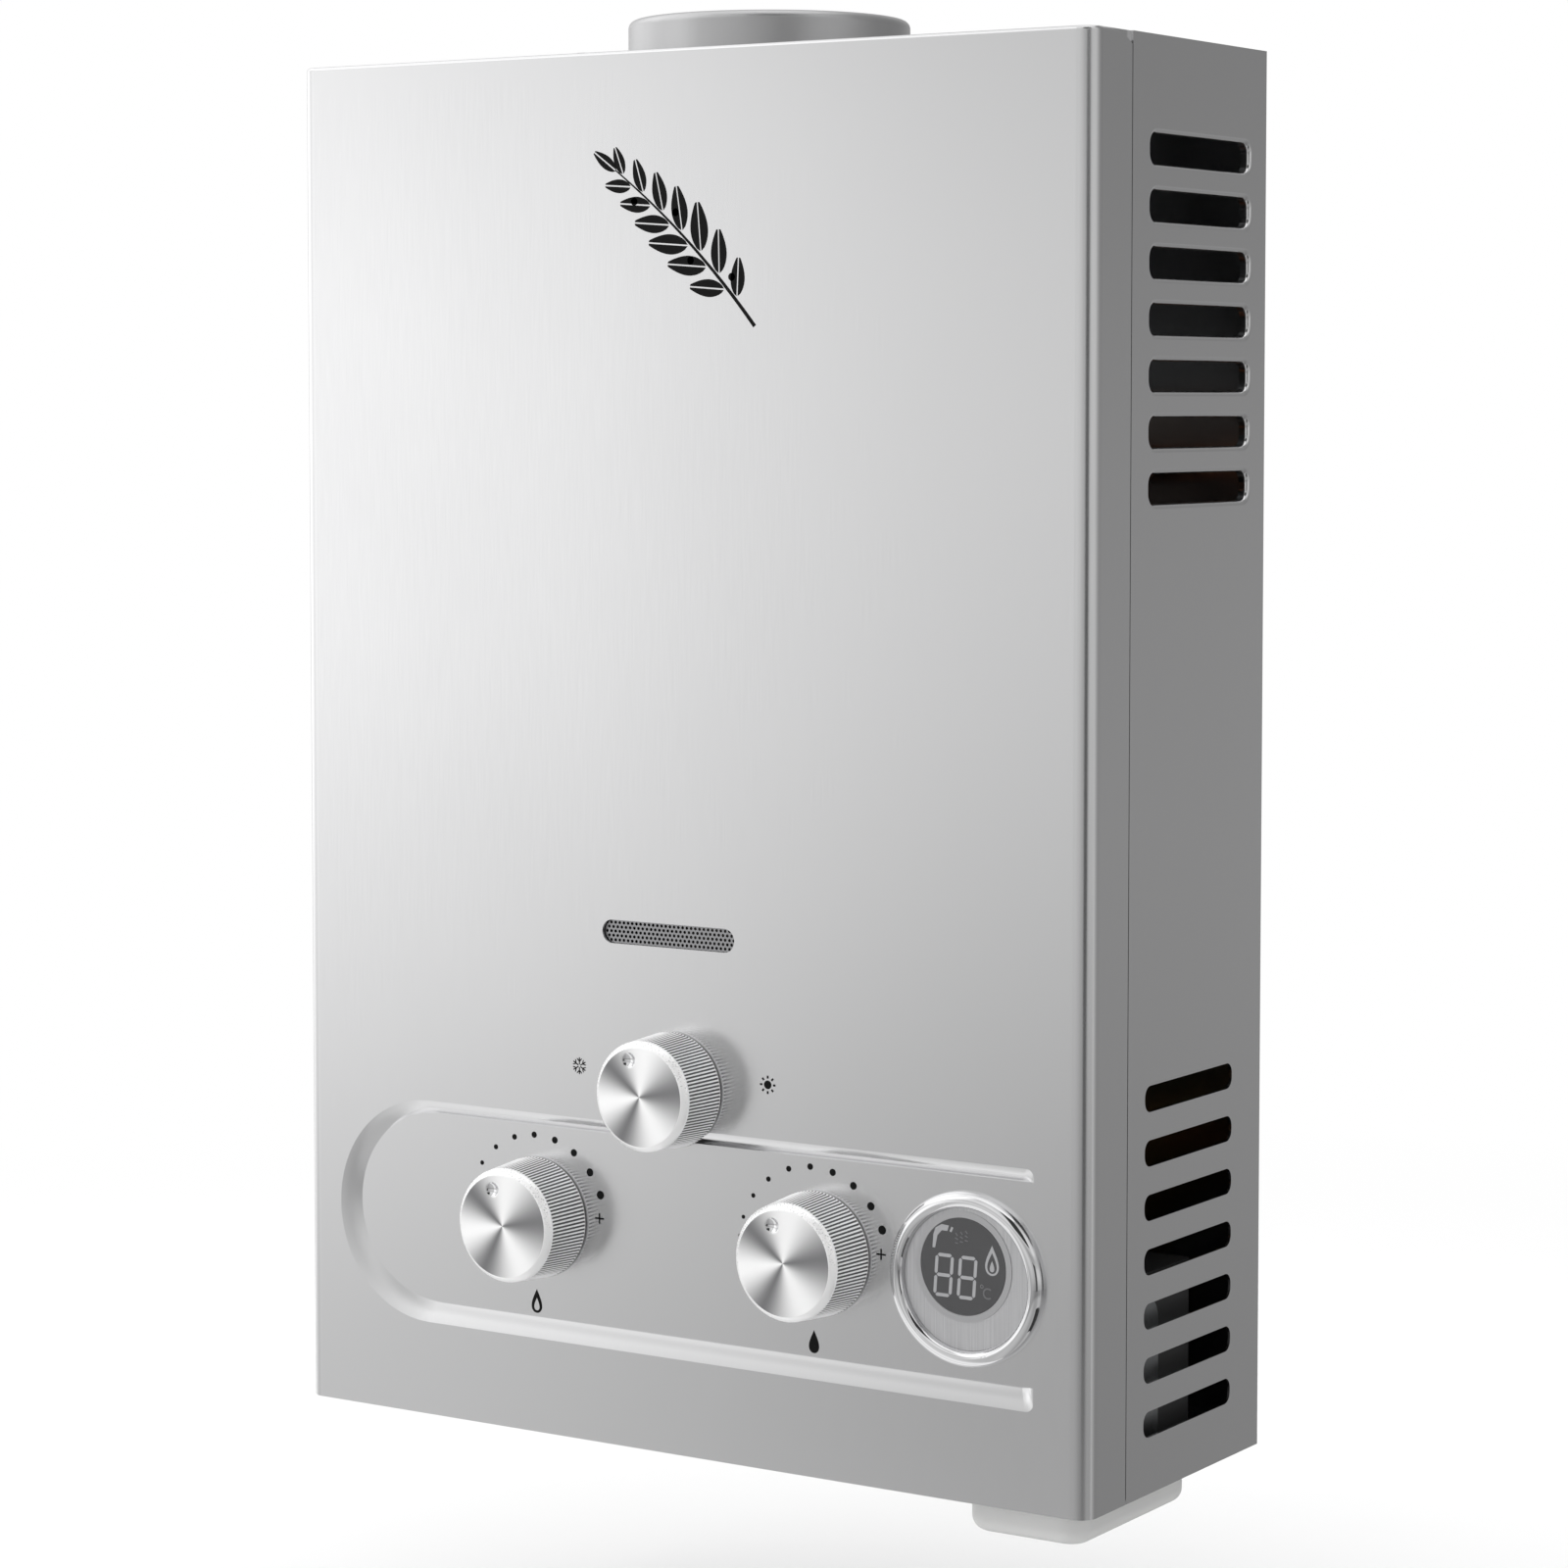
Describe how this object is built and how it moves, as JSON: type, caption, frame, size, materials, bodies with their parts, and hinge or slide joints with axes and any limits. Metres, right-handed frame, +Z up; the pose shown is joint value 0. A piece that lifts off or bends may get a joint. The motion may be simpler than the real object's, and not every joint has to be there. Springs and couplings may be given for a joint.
{
  "type": "gas water heater",
  "caption": "Wall-hung gas water heater: satin steel case with louvred sides, flue collar, turning control knobs, round display, flame window and a hinged battery lid.",
  "frame": {"origin": "centre of the back face, on the wall", "axes": "+X to the right seen from the front, +Y into the wall, +Z up"},
  "size_m": [0.296, 0.131, 0.47],
  "materials": {
    "satin_steel": "fine satin sheet steel",
    "zinc_sheet": "galvanised sheet",
    "spun_aluminium": "spun face, knurled side",
    "chrome_trim": "polished chrome",
    "silver_face": "vertically brushed",
    "dark_window": "smoked gloss",
    "white_plastic": "satin white",
    "black_plastic": "fine grain",
    "board": "lacquered board",
    "cell_wrap": null,
    "nickel": "nickel plate",
    "copper": "dull copper",
    "burner_steel": "heat-tinted stainless",
    "cast_alloy": "die-cast",
    "brass": "machined brass",
    "ceramic": "white unglazed",
    "rubber": "moulded rubber",
    "spring_steel": "drawn wire",
    "winding": "taped winding",
    "screw_steel": "zinc-plated"
  },
  "bodies": {
    "case": {"battery_box": "black_plastic", "battery_bracket": "zinc_sheet", "battery_cells": "cell_wrap", "battery_contacts": "nickel", "bottom_panel": "zinc_sheet", "burner_bars": "burner_steel", "burner_frame": "burner_steel", "case_screws": "screw_steel", "chamber_brackets": "zinc_sheet", "chamber_shell": "copper", "cold_inlet_fitting": "brass", "diaphragm": "rubber", "diaphragm_cover": "cast_alloy", "display_back": "black_plastic", "display_bezel": "chrome_trim", "display_board": "board", "display_face": "silver_face", "display_lens": "dark_window", "electrode_insulators": "ceramic", "electrodes": "nickel", "exchanger_coil": "copper", "exchanger_fins": "copper", "fitting_nuts": "brass", "flame_window_mesh": "satin_steel", "flue_collar": "satin_steel", "flue_hood": "zinc_sheet", "front_cover": "satin_steel", "gas_inlet_fitting": "brass", "gas_manifold": "cast_alloy", "gas_nozzles": "brass", "gas_valve_body": "cast_alloy", "gas_valve_spring": "spring_steel", "hot_outlet_fitting": "brass", "igniter_box": "black_plastic", "inlet_pipe": "copper", "microswitch": "black_plastic", "outlet_pipe": "copper", "overheat_thermostat": "winding", "rear_casing": "satin_steel", "solenoid_coil": "winding", "stem_nuts": "brass", "temperature_probe": "brass", "top_panel": "satin_steel", "valve_bracket": "zinc_sheet", "water_valve_body": "brass"},
    "gas_knob": {"gas_knob": "spun_aluminium", "gas_valve_stem": "brass"},
    "water_knob": {"water_knob": "spun_aluminium", "water_valve_stem": "brass"},
    "season_knob": {"season_knob": "spun_aluminium", "season_valve_stem": "brass"},
    "flow_needle": {"flow_needle": "brass"},
    "push_rod": {"push_rod": "brass", "gas_valve_disc": "rubber"},
    "microswitch_lever": {"microswitch_lever": "nickel"},
    "solenoid_plunger": {"solenoid_plunger": "spring_steel"},
    "battery_lid": {"battery_lid": "white_plastic", "battery_lid_pin": "nickel"},
    "drain_plug": {"drain_plug": "black_plastic"}
  },
  "joints": [
    {"name": "gas_knob_turn", "type": "hinge", "parent": "case", "child": "gas_knob", "pos_m": [-0.053, -0.112, -0.15], "axis": [0, 1, 0], "range_deg": [-66, 104]},
    {"name": "water_knob_turn", "type": "hinge", "parent": "case", "child": "water_knob", "pos_m": [0.053, -0.112, -0.15], "axis": [0, 1, 0], "range_deg": [-66, 104]},
    {"name": "season_knob_turn", "type": "hinge", "parent": "case", "child": "season_knob", "pos_m": [0, -0.112, -0.104], "axis": [0, 1, 0], "range_deg": [-64, 102]},
    {"name": "flow_needle_slide", "type": "slide", "parent": "case", "child": "flow_needle", "axis": [0, -1, 0], "range_m": [-0.0012, 0.0019]},
    {"name": "push_rod_slide", "type": "slide", "parent": "case", "child": "push_rod", "axis": [-1, 0, 0], "range_m": [0, 0.004], "stiffness_N_per_m": 1500},
    {"name": "microswitch_lever_swing", "type": "hinge", "parent": "case", "child": "microswitch_lever", "pos_m": [-0.008, -0.06, -0.13925], "axis": [0, 1, 0], "range_deg": [0, 39]},
    {"name": "solenoid_plunger_slide", "type": "slide", "parent": "case", "child": "solenoid_plunger", "axis": [-1, 0, 0], "range_m": [0, 0.002], "stiffness_N_per_m": 800},
    {"name": "battery_lid_swing", "type": "hinge", "parent": "case", "child": "battery_lid", "pos_m": [0.1205, -0.0347, -0.224], "axis": [1, 0, 0], "range_deg": [0, 100]},
    {"name": "drain_plug_turn", "type": "hinge", "parent": "case", "child": "drain_plug", "pos_m": [0.072, -0.062, -0.22], "axis": [0, 0, 1], "range_deg": [0, 540]}
  ],
  "couplings": [
    {"joint": "flow_needle_slide", "follows": "water_knob_turn", "m_per_rad": 0.00101},
    {"joint": "microswitch_lever_swing", "follows": "push_rod_slide", "rad_per_m": 170}
  ]
}
